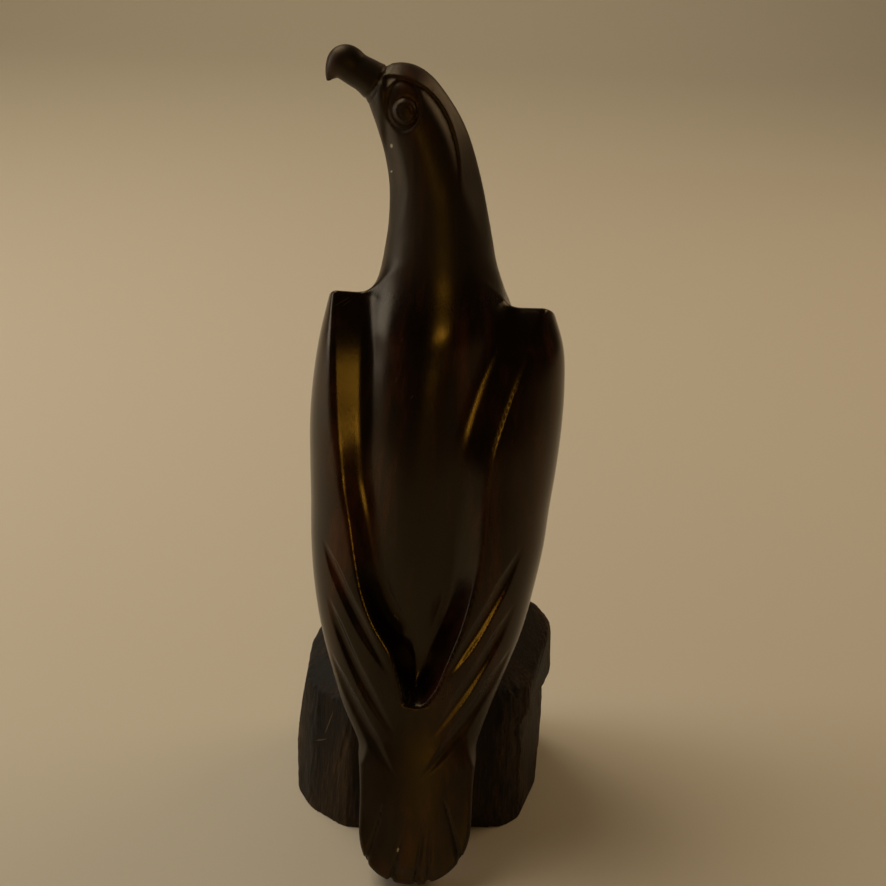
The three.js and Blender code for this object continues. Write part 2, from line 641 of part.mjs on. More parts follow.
// Joins the ends of the edge that matters least, again and again, until facetCount triangles are left.
function simplify(points, faces, target) {
  const normalOf = (a, b, c) => {
    const [ux, uy, uz] = [b[0] - a[0], b[1] - a[1], b[2] - a[2]];
    const [vx, vy, vz] = [c[0] - a[0], c[1] - a[1], c[2] - a[2]];
    return [uy * vz - uz * vy, uz * vx - ux * vz, ux * vy - uy * vx];
  };
  const around = points.map(() => new Set());
  const quadric = points.map(() => new Float64Array(10));
  faces.forEach((face, f) => {
    const n = normalOf(...face.map((v) => points[v]));
    const length = Math.hypot(...n) || 1;
    const [a, b, c] = n.map((v) => v / length);
    const d = -(a * points[face[0]][0] + b * points[face[0]][1] + c * points[face[0]][2]);
    const terms = [a * a, a * b, a * c, a * d, b * b, b * c, b * d, c * c, c * d, d * d];
    for (const v of face) {
      around[v].add(f);
      terms.forEach((term, t) => (quadric[v][t] += (term * length) / 2));
    }
  });
  const stamp = new Int32Array(points.length);
  const heap = [];
  const push = (item) => {
    let at = heap.push(item) - 1;
    while (at > 0) {
      const up = (at - 1) >> 1;
      if (heap[up][0] <= item[0]) break;
      heap[at] = heap[up];
      at = up;
    }
    heap[at] = item;
  };
  const pop = () => {
    const first = heap[0];
    const item = heap.pop();
    if (!heap.length) return first;
    let at = 0;
    for (;;) {
      let down = 2 * at + 1;
      if (down >= heap.length) break;
      if (down + 1 < heap.length && heap[down + 1][0] < heap[down][0]) down++;
      if (heap[down][0] >= item[0]) break;
      heap[at] = heap[down];
      at = down;
    }
    heap[at] = item;
    return first;
  };
  const errorAt = (q, [x, y, z]) =>
    q[0] * x * x + 2 * q[1] * x * y + 2 * q[2] * x * z + 2 * q[3] * x + q[4] * y * y +
    2 * q[5] * y * z + 2 * q[6] * y + q[7] * z * z + 2 * q[8] * z + q[9];
  const consider = (u, v) => {
    const q = quadric[u].map((term, t) => term + quadric[v][t]);
    const mid = points[u].map((p, c) => (p + points[v][c]) / 2);
    const hold = 1e-3 * (q[0] + q[4] + q[7]);
    const m = [[q[0] + hold, q[1], q[2]], [q[1], q[4] + hold, q[5]], [q[2], q[5], q[7] + hold]];
    const right = [0, 1, 2].map((r) => hold * mid[r] - q[[3, 6, 8][r]]);
    const place = solve3(m, right);
    const length = Math.hypot(...points[u].map((p, c) => p - points[v][c]));
    push([errorAt(q, place) + 1e-5 * length * length, u, v, stamp[u], stamp[v], place]);
  };
  const neighbours = (v) => {
    const found = new Set();
    for (const f of around[v]) for (const w of faces[f]) if (w !== v) found.add(w);
    return found;
  };
  points.forEach((_, v) => {
    for (const w of neighbours(v)) if (v < w) consider(v, w);
  });
  let left = faces.length;
  while (left > target && heap.length) {
    const [, u, v, su, sv, place] = pop();
    if (stamp[u] !== su || stamp[v] !== sv) continue;
    const nearU = neighbours(u);
    const shared = [...neighbours(v)].filter((w) => nearU.has(w));
    if (shared.length !== 2) continue;
    const flips = [u, v].some((end) =>
      [...around[end]].some((f) => {
        const face = faces[f];
        if (face.includes(u) && face.includes(v)) return false;
        const before = normalOf(...face.map((w) => points[w]));
        const after = normalOf(...face.map((w) => (w === end ? place : points[w])));
        const dot = before[0] * after[0] + before[1] * after[1] + before[2] * after[2];
        return dot < 0.35 * Math.hypot(...before) * Math.hypot(...after) || Math.hypot(...after) < 0.02;
      }),
    );
    if (flips) continue;
    points[u] = place;
    for (const f of around[v]) {
      if (faces[f].includes(u)) {
        for (const w of faces[f]) if (w !== v) around[w].delete(f);
        faces[f] = null;
        left--;
      } else {
        faces[f] = faces[f].map((w) => (w === v ? u : w));
        around[u].add(f);
      }
    }
    around[v].clear();
    quadric[u] = quadric[u].map((term, t) => term + quadric[v][t]);
    stamp[v] = -1;
    stamp[u]++;
    for (const w of neighbours(u)) consider(u, w);
  }
  return faces.filter((face) => face);
}

const faces = simplify(vertices, triangles, facetCount);
const flat = [];
for (const face of faces) {
  for (const v of face) {
    const [x, y, z] = vertices[v];
    flat.push(x, y, z < 0.2 ? 0 : z);
  }
}
const geometry = new THREE.BufferGeometry();
geometry.setAttribute("position", new THREE.Float32BufferAttribute(flat, 3));
geometry.computeVertexNormals();

const wood = new THREE.MeshStandardMaterial({ color: 0x2a1a12, roughness: 0.28, metalness: 0 });
const carving = new THREE.Mesh(geometry, wood);
carving.name = "bird_carving";
const model = new THREE.Group();
model.name = "ironwood_bird_carving";
model.add(carving);
export default model;
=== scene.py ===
import math

import bpy
import mathutils
import numpy as np
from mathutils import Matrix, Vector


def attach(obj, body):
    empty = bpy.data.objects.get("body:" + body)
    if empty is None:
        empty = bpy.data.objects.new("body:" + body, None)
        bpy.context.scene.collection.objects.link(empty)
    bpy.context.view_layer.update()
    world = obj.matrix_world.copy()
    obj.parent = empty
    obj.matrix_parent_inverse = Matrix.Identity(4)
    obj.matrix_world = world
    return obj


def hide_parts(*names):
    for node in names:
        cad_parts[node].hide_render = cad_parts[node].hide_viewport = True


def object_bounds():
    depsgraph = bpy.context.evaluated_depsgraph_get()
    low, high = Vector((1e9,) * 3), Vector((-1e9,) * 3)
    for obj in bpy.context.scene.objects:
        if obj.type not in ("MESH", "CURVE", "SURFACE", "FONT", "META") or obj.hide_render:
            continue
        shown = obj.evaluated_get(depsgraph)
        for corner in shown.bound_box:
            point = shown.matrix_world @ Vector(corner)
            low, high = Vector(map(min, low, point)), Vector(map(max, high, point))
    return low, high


# An eagle carved with its rock plinth from one block of desert ironwood, seen from behind.
# The carving is one signed distance in millimetres, negative inside the wood, meshed finely and moved
# onto the surface; lengths turn into metres where the mesh is made.
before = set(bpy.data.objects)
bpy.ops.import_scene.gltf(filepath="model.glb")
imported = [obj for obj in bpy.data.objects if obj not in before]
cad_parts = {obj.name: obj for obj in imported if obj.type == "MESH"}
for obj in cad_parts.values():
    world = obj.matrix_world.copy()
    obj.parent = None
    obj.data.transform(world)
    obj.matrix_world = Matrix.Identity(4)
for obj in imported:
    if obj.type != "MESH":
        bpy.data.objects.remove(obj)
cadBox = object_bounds()
millimetre = 0.001

carvingSettings = {
    "cell": 0.78,  # mm, spacing of the grid that the surface is found on
    "triangles": 194000,  # left after thinning the flat places
    "ridgeRound": 1.6,  # mm, fillet left on the crisp edges by sanding
    "featherWidth": 6.8,
    "featherDepth": 1.35,
    "tailGrooveWidth": 3.8,
    "tailGrooveDepth": 1.1,
    "eyeDiameter": 9.8,
    "eyeGroove": 1.3,
    "eyeDepth": 0.55,
    "cheekRecess": 1.1,
    "socketDepth": 0.7,
    "tornDepth": 1.6,  # mm, how deep the torn grain of the hewn plinth goes
    "tornWidth": 2.2,
    "tornLength": 11.0,
}
plinthSize = {"width": 106.0, "depth": 88.0, "height": 80.0}
bodyShape = {
    "spineThickness": 16.0,
    "spineBlend": 7.0,  # mm, fillet along both sides of the spine
    "neckBlend": 9.0,
    "tailBlend": 6.0,
    "breastBack": 20.0,
    "bellyHeight": 80.0,
}
feetShape = {"legTop": 11.5, "leg": 8.5, "toeRoot": 4.2, "toe": 3.6, "toeLength": 16.0}
pointsAtOnce = 6000  # points whose distance is worked out together


# A smooth curve through rows of [position, value, value ...].
class Curve:

    def __init__(self, rows, fineness=0.25):
        rows = np.array(rows, float)
        at = rows[:, 0]
        before = np.vstack([rows[:1], rows[:-1]])
        after = np.vstack([rows[1:], rows[-1:]])
        slopes = (after - before)[:, 1:] / (after - before)[:, :1]
        self.at = np.arange(at[0], at[-1] + fineness, fineness)
        i = np.clip(np.searchsorted(at, self.at, side="right") - 1, 0, len(at) - 2)
        run = (at[i + 1] - at[i])[:, None]
        t = np.clip((self.at - at[i])[:, None] / run, 0, 1)
        self.values = (
            (2 * t**3 - 3 * t**2 + 1) * rows[i, 1:]
            + (t**3 - 2 * t**2 + t) * run * slopes[i]
            + (3 * t**2 - 2 * t**3) * rows[i + 1, 1:]
            + (t**3 - t**2) * run * slopes[i + 1]
        )

    def __call__(self, at, column=1):
        return np.interp(at, self.at, self.values[:, column - 1])


def smoothMin(a, b, k):
    h = np.maximum(k - np.abs(a - b), 0) / k
    return np.minimum(a, b) - h * h * k / 4


def smoothMax(a, b, k):
    return -smoothMin(-a, -b, k)


def smoothstep(x, low, high):
    t = np.clip((x - low) / (high - low), 0, 1)
    return t * t * (3 - 2 * t)


def ellipseDistance(x, y, a, b):
    near = np.hypot(x / a, y / b)
    far = np.hypot(x / (a * a), y / (b * b))
    return near * (near - 1) / np.maximum(far, 1e-9)


def rodDistance(p, a, b, ra, rb):
    a, b = np.array(a, float), np.array(b, float)
    span = b - a
    gap = [p[i] - a[i] for i in range(3)]
    t = np.clip(sum(gap[i] * span[i] for i in range(3)) / (span @ span), 0, 1)
    away = np.sqrt(sum((gap[i] - t * span[i]) ** 2 for i in range(3)))
    return away - ra - (rb - ra) * t


def chainDistance(p, chain):
    best = np.full(p[0].shape, 1e9)
    along = np.zeros(p[0].shape)
    for i in range(len(chain) - 1):
        a, b = chain[i], chain[i + 1]
        span = b - a
        gap = [p[k] - a[k] for k in range(3)]
        t = np.clip(sum(gap[k] * span[k] for k in range(3)) / (span @ span), 0, 1)
        away = np.sqrt(sum((gap[k] - t * span[k]) ** 2 for k in range(3)))
        nearer = away < best
        best = np.where(nearer, away, best)
        along = np.where(nearer, (i + t) / (len(chain) - 1), along)
    return best, along


def grooveShape(away, width):
    return np.clip(1 - (2 * away / width) ** 2, 0, 1) ** 2


# Folded wings: height, x of the left side, x of the right side, y of the back, of the widest place
# and of the front edge.
wingAt = Curve([
    [10, -14, 9, -80, -70, -64],
    [20, -18, 12.5, -76.6, -66, -60],
    [30, -20.5, 14, -73.9, -62.5, -56],
    [38, -22.5, 15.5, -71.2, -59, -51],
    [50, -26, 19.5, -67, -53, -38],
    [62, -33, 24.5, -63, -44, -24],
    [76, -38.8, 30.8, -60, -35, -10],
    [90, -43.3, 36.3, -57, -28, 1],
    [106, -46.4, 40.1, -54, -22, 10],
    [121, -47.8, 42.8, -51, -18, 16],
    [136, -48.3, 44.3, -48, -14, 19],
    [150, -48.9, 45.9, -45, -11, 20],
    [166, -49.2, 47, -42, -9, 20],
    [182, -48.2, 47.1, -38, -8, 19],
    [198, -46, 45.6, -34, -8, 17],
    [212, -43, 41, -30, -8, 12],
    [224, -40, 37, -27, -8, 6],
])
wingShape = {
    "squareness": 2.2,
    "shoulderHeight": 223.8,
    "shoulderDrop": 4,
    "shoulderFall": 0.5,
    "tip": 12,
    "tipRise": 0.25,
    "hollowDepth": 13,
    "hollowBottom": 70,
}
# Hollow between the wings: height, x of the left ridge, x of the right ridge, share of its depth, how
# far in from the ridge the full depth is reached, and how flat its wall is.
hollowAt = Curve([
    [70.5, -4.7, -4.3, 1, 4.5, 0],
    [71.1, -7.6, -1.3, 1, 4.5, 0],
    [73, -9, 0.6, 1, 5, 0],
    [78, -10.2, 3.8, 1, 6, 0],
    [85, -12.2, 6.4, 0.98, 7, 0.1],
    [92, -15, 9.1, 0.95, 8, 0.2],
    [101, -21.2, 12.3, 0.89, 9, 0.4],
    [112, -26, 15.3, 0.74, 9, 0.6],
    [123, -28.9, 17.4, 0.62, 10, 0.75],
    [138, -32.1, 18.4, 0.5, 11, 0.9],
    [150, -35.1, 18.6, 0.42, 12, 1],
    [162, -37.1, 19.2, 0.36, 13, 1],
    [172, -38.4, 21.1, 0.32, 14, 1],
    [189, -39.8, 26.5, 0.28, 15, 1],
    [206, -40.4, 33, 0.24, 16, 1],
    [222, -40.7, 40.3, 0.2, 16, 1],
])
# Spine: height, x, half width, y of its back.
spineAt = Curve([
    [66, -4.5, 4, -28],
    [80, -5.2, 7.5, -37.5],
    [95, -7.2, 11.6, -43.2],
    [110, -8, 14, -44.5],
    [130, -8.2, 15.5, -43.5],
    [155, -7.2, 17.5, -41],
    [180, -5.5, 19, -37],
    [205, -3, 21, -32],
    [228, -2, 21, -27],
])
# Breast and belly: height, half width, y of the front.
breastAt = Curve([
    [78, 16, 12],
    [86, 22, 20],
    [98, 27, 27],
    [115, 31, 33],
    [135, 34, 37],
    [155, 35, 38],
    [175, 33.5, 35],
    [195, 30, 29],
    [210, 26.5, 23],
    [228, 21, 15],
])
# Neck, head and beak as a chain of discs: x, height, radius in profile, half thickness.
neckStations = [
    [0, 176, 14, 12],
    [-0.5, 192, 20, 18],
    [-1.2, 208, 23, 20.5],
    [-2, 225, 21.1, 20],
    [-2.7, 241, 18.5, 18],
    [-4.6, 257, 16.5, 16.2],
    [-8, 270.5, 15.3, 14.8],
    [-12.4, 280.3, 13.9, 13.4],
    [-16.9, 287.3, 12.1, 11.8],
    [-21.3, 289.4, 8.3, 9],
    [-25.9, 291.9, 6.9, 7.3],
    [-29.8, 294.4, 6.1, 6.2],
    [-33.6, 296.4, 5.9, 5.3],
    [-37.2, 298.7, 6.1, 4.7],
    [-39.7, 297.7, 4.4, 3.8],
    [-41.2, 296.2, 3.1, 2.7],
    [-42.3, 294.7, 2, 1.8],
    [-43.3, 292.8, 0.8, 0.8],
]
neckMiddle = -6.0
neckSpan = np.arange(0, len(neckStations) - 1 + 1e-6, 1 / 16)
neckCurve = Curve([[i, *row] for i, row in enumerate(neckStations)], fineness=1 / 64)
neckDiscs = np.stack([neckCurve(neckSpan, c) for c in (1, 2, 3, 4)], axis=1)
eyePlace = (-15.9, 284.9)
socket = (-16.6, 286.4, 6.3, 8.6)  # x and height of its middle, and half-axes
# The brow's edge is an ellipse in profile: x and height of its middle, and half-axes.
brow = (-20, 261, 24, 34.8)
# A point on the line where beak meets face, and the beak's direction.
cere = (-27.4, 290.6, -0.84, 0.54)

# Grooves between the wing feathers, each a bow through three points of [x, height] seen from behind.
featherGrooves = [
    [[-42.4, 128], [-30.6, 107], [-13.8, 81]],
    [[-40, 107.5], [-27.8, 82.5], [-10.2, 56.8]],
    [[-38.4, 84], [-24.6, 62], [-8.6, 40.5]],
    [[34, 130.5], [20.4, 104], [5, 79]],
    [[32.2, 107.5], [18.6, 83], [1, 57]],
    [[31.6, 88], [17.6, 66.5], [-3.6, 41]],
]
tailGrooves = [
    [[-15.2, 32.5], [-20, 14]],
    [[-7.4, 22.5], [-10.4, 8]],
    [[0.8, 28.5], [-1.4, 6]],
    [[3.4, 25], [3.3, 8]],
    [[8.4, 35], [14, 17]],
]

# Hewn faces of the plinth: bearing from the camera toward +X, lean, share of the half size, ledge.
hewnFaces = [
    [-7, 4, 1.1, 0],
    [5, 7, 1.0, 0],
    [-38, 6, 1.17, 0],
    [-62, 4, 1.12, 0],
    [-86, -2, 1.03, 0],
    [-90, 8, 1.09, 0],
    [-118, 7, 1.02, 0],
    [-150, 5, 1.0, 0],
    [178, 7, 0.96, 0],
    [150, 4, 1.02, 0],
    [118, 3, 1.03, 0],
    [92, -4, 0.9, 1],
    [88, 3, 0.96, 1],
    [72, 3, 0.93, 0.6],
    [40, 6, 1.1, 0.3],
]
# Hewn faces round its top: bearing, lean, share of the half size, height.
hewnTops = [
    [82, 28, 0.95, 67],
    [46, 50, 0.86, 64],
    [116, 36, 0.96, 69],
    [-80, 50, 0.88, 62],
    [-40, 56, 0.75, 64],
    [-140, 56, 0.75, 66],
    [170, 62, 0.6, 72],
]
ledge = {"height": 46, "depth": 3.6}


def hewnPlane(turn, lean, share, height, step):
    a, tip = math.radians(turn), math.radians(lean)
    reach = share * (plinthSize["depth"] + (plinthSize["width"] - plinthSize["depth"]) * math.sin(a) ** 2) / 2
    offset = reach * math.cos(tip) + height * math.sin(tip)
    nx, ny, nz = math.sin(a) * math.cos(tip), -math.cos(a) * math.cos(tip), math.sin(tip)
    return nx, ny, nz, offset, step * ledge["depth"]


hewnPlanes = [hewnPlane(turn, lean, share, 0, step) for turn, lean, share, step in hewnFaces]
hewnPlanes += [hewnPlane(turn, lean, share, height, 0) for turn, lean, share, height in hewnTops]


def hewnDistance(x, y, z):
    d = z - plinthSize["height"]
    out = smoothstep(z, ledge["height"] - 3, ledge["height"] + 2)
    for nx, ny, nz, offset, step in hewnPlanes:
        d = smoothMax(d, x * nx + y * ny + z * nz - offset - step * out, carvingSettings["ridgeRound"])
    return d


def backOfWings(x, h):
    left, right, back, middle = [wingAt(h, c) for c in (1, 2, 3, 4)]
    u = np.minimum(np.abs(x - (right + left) / 2) / ((right - left) / 2), 0.97)
    n = wingShape["squareness"]
    return middle - (middle - back) * (1 - u**n) ** (1 / n)


# A feather groove as a chain of points on the wings' back.
def layBow(bow):
    a, b, c = [np.array(point, float) for point in bow]
    t = np.linspace(0, 1, 15)[:, None]
    flat = (1 - t) ** 2 * a + 2 * t * (1 - t) * (2 * b - (a + c) / 2) + t * t * c
    return np.column_stack([flat[:, 0], backOfWings(flat[:, 0], flat[:, 1]), flat[:, 1]])


featherChains = [layBow(bow) for bow in featherGrooves]


def wingsDistance(x, y, h):
    left, right, back, middle, front = [wingAt(h, c) for c in (1, 2, 3, 4, 5)]
    half, centre = (right - left) / 2, (right + left) / 2
    n = wingShape["squareness"]
    depth = np.where(y < middle, middle - back, front - middle)
    u = np.abs(x - centre) / half
    v = np.abs(y - middle) / depth
    size = np.maximum((u**n + v**n) ** (1 / n), 1e-4)
    slope = size ** (1 - n) * np.hypot(u ** (n - 1) / half, v ** (n - 1) / depth)
    d = (size - 1) / np.maximum(slope, 1e-5)
    edge = carvingSettings["ridgeRound"]
    drop = wingShape["shoulderDrop"] * smoothstep(x, -20, 20)
    top = h - wingShape["shoulderHeight"] + drop + wingShape["shoulderFall"] * (y + 24)
    d = smoothMax(d, top / math.hypot(1, wingShape["shoulderFall"]), edge)
    d = smoothMax(d, (wingShape["tip"] + wingShape["tipRise"] * np.abs(x + 3) - h) * 0.85, 1.6)
    l, r = hollowAt(h, 1), hollowAt(h, 2)
    yl, yr = backOfWings(l, h), backOfWings(r, h)
    uprightL = 1 / np.hypot(1, hollowAt(h + 0.5, 1) - hollowAt(h - 0.5, 1))
    uprightR = 1 / np.hypot(1, hollowAt(h + 0.5, 2) - hollowAt(h - 0.5, 2))
    inside = smoothMin((x - l) * uprightL, (r - x) * uprightR, np.clip((r - l) / 4, 0.2, 6))
    t = np.clip(inside / hollowAt(h, 4), 0, 1)
    rim = yl + (yr - yl) * np.clip((x - l) / (r - l + 1e-6), 0, 1)
    flat = hollowAt(h, 5)
    floor = rim + hollowAt(h, 3) * wingShape["hollowDepth"] * (t * flat + (1 - (1 - t) ** 2) * (1 - flat))
    hollow = np.maximum(-inside, (y - floor) * 0.8)
    return np.where(h < wingShape["hollowBottom"], d, smoothMax(d, -hollow, edge))


def neckDistance(x, y, h):
    d = np.full(x.shape, 40.0)
    low, high = h.min(), h.max()
    side = np.abs(y - neckMiddle)
    # Along the throat and over the crown the cut leaves a flat strip beside the outline.
    across, through, reach = 0.868, 0.496, 0.925
    flatten = 2.5 * (1 - smoothstep(h, 232, 262) * smoothstep(x, -27, -22)) if high > 232 else 2.5
    for cx, cz, radius, thick in neckDiscs:
        if cz + radius < low - 9 or cz - radius > high + 9:
            continue
        away = np.hypot(x - cx, h - cz)
        near = np.hypot(away / radius, side / thick)
        far = np.hypot(away / (radius * radius), side / (thick * thick))
        disc = near * (near - 1) / np.maximum(far, 1e-6)
        if high > 232:
            strip = across * away / radius + through * side / thick - reach
            strip = strip * math.hypot(radius, thick) / 1.414
            disc = smoothMax(disc, strip - flatten, 0.8)
        d = np.minimum(d, disc)
    if high > 245:
        below = -ellipseDistance(x - brow[0], h - brow[1], brow[2], brow[3])
        onSide = smoothstep(side, 3, 7) * smoothstep(x, -25, -22) * smoothstep(h, 252, 274)
        cheek = smoothstep(below, -0.6, 0.7) * onSide
        d = d + carvingSettings["cheekRecess"] * cheek * (1 - smoothstep(below, 5, 14) * 0.7)
        toBeak = (x - cere[0]) * cere[2] + (h - cere[1]) * cere[3]
        beakOnly = smoothstep(h, 276, 282) * (1 - smoothstep(x, -22, -20))
        step = 0.25 * smoothstep(toBeak, -4, 0) * (toBeak < 0)
        d = d + 0.45 * grooveShape(np.abs(toBeak), 2.2) * beakOnly - step * beakOnly
        inSocket = -ellipseDistance(x - socket[0], h - socket[1], socket[2], socket[3])
        away = np.hypot(x - eyePlace[0], h - eyePlace[1])
        width = carvingSettings["eyeGroove"]
        ring = grooveShape(np.abs(away - (carvingSettings["eyeDiameter"] - width) / 2), width)
        pupil = 0.6 * grooveShape(np.abs(away - 2.3), width * 0.8)
        bulge = (carvingSettings["socketDepth"] + 0.3) * (1 - smoothstep(away, 2.4, 5))
        sunk = carvingSettings["socketDepth"] * smoothstep(inSocket, -0.5, 0.7)
        d = d + smoothstep(side, 3, 6) * (carvingSettings["eyeDepth"] * (ring + pupil) - bulge + sunk)
    return d


def birdDistance(x, y, h):
    d = wingsDistance(x, y, h)
    high = h.max()
    thick = bodyShape["spineThickness"]
    spine = ellipseDistance(x - spineAt(h, 1), y - (spineAt(h, 3) + thick), spineAt(h, 2), thick)
    spine = smoothMax(np.maximum(spine, 68 - h), h - 226, 24)
    chest = ellipseDistance(x, y, breastAt(h, 1), np.where(y > 0, breastAt(h, 2), bodyShape["breastBack"]))
    d = smoothMin(d, smoothMax(smoothMax(chest, bodyShape["bellyHeight"] - h, 6), h - 224, 24), 2)
    d = smoothMin(d, spine, bodyShape["spineBlend"])
    if high > 160:
        d = np.where(h > 160, smoothMin(d, neckDistance(x, y, h), bodyShape["neckBlend"]), d)
    return d


# A slab that leans out from the wings' tips; its rounded tip is fuller on the left.
tailShape = {
    "top": (-60.0, 60.0),
    "tip": (-83.0, 4.4),
    "x": -2.6,
    "width": 43.0,
    "thickness": 11.0,
    "round": 23.0,
    "fullLeft": 2.5,
    "fullRight": 2.05,
}


def tailDistance(x, y, z):
    (topY, topZ), (tipY, tipZ) = tailShape["top"], tailShape["tip"]
    length = math.hypot(topY - tipY, topZ - tipZ)
    ay, az = (topY - tipY) / length, (topZ - tipZ) / length
    along = (y - tipY) * ay + (z - tipZ) * az
    off = (y - tipY) * az - (z - tipZ) * ay
    across = np.abs(x - tailShape["x"])
    half = tailShape["width"] / 2
    over = np.maximum(tailShape["round"] - along, 0)
    full = np.where(x < tailShape["x"], tailShape["fullLeft"], tailShape["fullRight"])
    underWings = np.maximum(z - 46, 0) * 0.6
    reach = ((across / half) ** full + (over / tailShape["round"]) ** full) ** (1 / full)
    outline = (reach - 1) * half + underWings * (over <= 0)
    crown = 1.6 * (across / half) ** 2 + 0.03 * np.maximum(z - 46, 0) ** 2
    slab = np.maximum(crown - off, off - tailShape["thickness"])
    return np.maximum(smoothMax(outline, slab, carvingSettings["ridgeRound"]), along - length)


# How deep the grooves cut: between the feathers of the wings, and fanned over the tail.
def grooveCut(x, y, z):
    cut = np.zeros(x.shape)
    if z.min() < 140 and z.max() > 34 and y.min() < -8:
        for chain in featherChains:
            away, along = chainDistance((x, y, z), chain)
            fade = smoothstep(along, 0, 0.3) * (1 - smoothstep(along, 0.6, 1))
            width = carvingSettings["featherWidth"] * (0.45 + 0.55 * fade)
            cut += carvingSettings["featherDepth"] * fade * grooveShape(away, width) * (y < -8)
    if z.min() < 40 and y.min() < -55:
        onTail = y < tailShape["tip"][0] + z * 0.42 + 3
        flat = (x, z, np.zeros(x.shape))
        for a, b in tailGrooves:
            run = (b[0] * 1.8 - a[0] * 0.8, b[1] * 1.8 - a[1] * 0.8, 0)  # out past the tail's edge
            away = rodDistance(flat, (*a, 0), run, -1.3, 0.1)
            groove = grooveShape(away, carvingSettings["tailGrooveWidth"])
            cut += carvingSettings["tailGrooveDepth"] * groove * onTail
    return cut


def webDistance(x, y, z):
    (topY, topZ), (tipY, tipZ) = tailShape["top"], tailShape["tip"]
    t = np.clip((z - tipZ) / (topZ - tipZ), 0, 1)
    back = tipY + (topY - tipY) * t + tailShape["thickness"] * 0.6
    low = 8 + (-y - plinthSize["depth"] / 2) * 0.2
    sides = np.maximum(np.maximum(np.abs(x - tailShape["x"]) - 15, back - y), y + 30)
    return smoothMax(sides, np.maximum(low - z, z - 62), 3)


def feetDistance(x, y, z):
    top = plinthSize["height"]
    p = (np.abs(x), y, z)
    shape = feetShape
    d = rodDistance(p, (15, 4, top + 24), (17, 14, top + 1), shape["legTop"], shape["leg"])
    for turn in (-32, 4, 38):
        a = math.radians(turn)
        end = (17 + shape["toeLength"] * math.sin(a), 15 + shape["toeLength"] * math.cos(a), top - 5)
        d = smoothMin(d, rodDistance(p, (17, 15, top + 1), end, shape["toeRoot"], shape["toe"]), 2)
    return d


# Distance to the whole carving, and how much nearer the hewn wood is than the polished.
def carvingDistance(x, y, z):
    far = np.full(x.shape, 1e3)
    d = birdDistance(x, y, z) if z.max() > 8 else far
    d = np.where(z > 8, d, far)
    if z.min() < 70:
        d = smoothMin(d, tailDistance(x, y, z), bodyShape["tailBlend"])
    d = d + grooveCut(x, y, z)
    polished, hewn = d, far
    if z.min() < 84:
        hewn = hewnDistance(x, y, z)
        d = smoothMin(d, hewn, 1.5)
    if z.min() < 70:
        web = webDistance(x, y, z)
        hewn = np.minimum(hewn, web)
        d = smoothMin(d, web, 2)
    if z.max() > 60 and z.min() < 125 and y.max() > -14:
        feet = np.where((z > 60) & (z < 125) & (y > -14), feetDistance(x, y, z), far)
        polished = np.minimum(polished, feet)
        d = smoothMin(d, feet, 3)
    return np.maximum(d, -z), polished - hewn


# The field on a grid; blocks that the surface can't cross are filled from their middle.
def sampleGrid(cell):
    block = 16
    low = np.array([-63.0, -91.0, -2.3])
    count = np.ceil((np.array([63.0, 52.0, 311.0]) - low) / cell / block).astype(int) * block
    axes = [low[i] + cell * np.arange(count[i]) for i in range(3)]
    values = np.empty(count, np.float32)
    inner = cell * np.arange(block)
    middle = cell * (block - 1) / 2
    bx, by, bz = [axes[i][::block] for i in range(3)]
    for k, z in enumerate(bz):
        cx, cy = np.meshgrid(bx + middle, by + middle, indexing="ij")
        centre = carvingDistance(cx.ravel(), cy.ravel(), np.full(cx.size, z + middle))[0].reshape(cx.shape)
        for i, x in enumerate(bx):
            for j, y in enumerate(by):
                at = tuple(slice(b * block, (b + 1) * block) for b in (i, j, k))
                if abs(centre[i, j]) > block * cell * 1.3:
                    values[at] = centre[i, j]
                    continue
                grid = np.meshgrid(x + inner, y + inner, z + inner, indexing="ij")
                field = carvingDistance(*[g.ravel() for g in grid])[0]
                values[at] = field.reshape(block, block, block)
    return axes, values


# One vertex in each crossed cell and one quad round each crossed grid line.
def meshGrid(axes, values):
    count = np.array(values.shape)
    cell = axes[0][1] - axes[0][0]
    low = np.array([axis[0] for axis in axes])
    stride = np.array([count[1] * count[2], count[2], 1])
    inside = values < 0
    ids, points, rings = [], [], []
    for axis in range(3):
        a = [slice(0, -1)] * 3
        b = [slice(0, -1)] * 3
        b[axis] = slice(1, None)
        hit = np.argwhere(inside[tuple(a)] != inside[tuple(b)])
        v0 = values[tuple(hit.T)]
        step = np.zeros(3, int)
        step[axis] = 1
        v1 = values[tuple((hit + step).T)]
        point = hit.astype(float)
        point[:, axis] += v0 / (v0 - v1)
        p, q = stride[(axis + 1) % 3], stride[(axis + 2) % 3]
        node = hit @ stride
        ring = np.stack([node, node - p, node - p - q, node - q], axis=1)
        outward = v0 >= 0
        ring[outward] = ring[outward][:, ::-1]
        rings.append(ring)
        ids.append(ring.ravel())
        points.append(np.repeat(point, 4, axis=0))
    ids, points, rings = np.concatenate(ids), np.concatenate(points), np.concatenate(rings)
    index = np.unique(ids, return_inverse=True)[1]
    index = index.reshape(-1)
    share = np.bincount(index)
    place = np.stack([np.bincount(index, points[:, c]) / share for c in range(3)], axis=1)
    return low + cell * place, index.reshape(-1, 4)


# Moves points onto the carving's surface.
def settle(points):
    reach = 0.05
    points = points.copy()
    order = np.argsort(points[:, 2], kind="stable")
    for start in range(0, len(points), pointsAtOnce):
        part = order[start:start + pointsAtOnce]
        p = points[part]
        d = carvingDistance(*p.T)[0]
        slope = np.empty_like(p)
        for axis in range(3):
            ahead = p.copy()
            ahead[:, axis] += reach
            slope[:, axis] = (carvingDistance(*ahead.T)[0] - d) / reach
        length = np.maximum(np.linalg.norm(slope, axis=1, keepdims=True), 0.3)
        points[part] = p - np.clip(d[:, None] / length, -0.6, 0.6) * slope / length
    return points


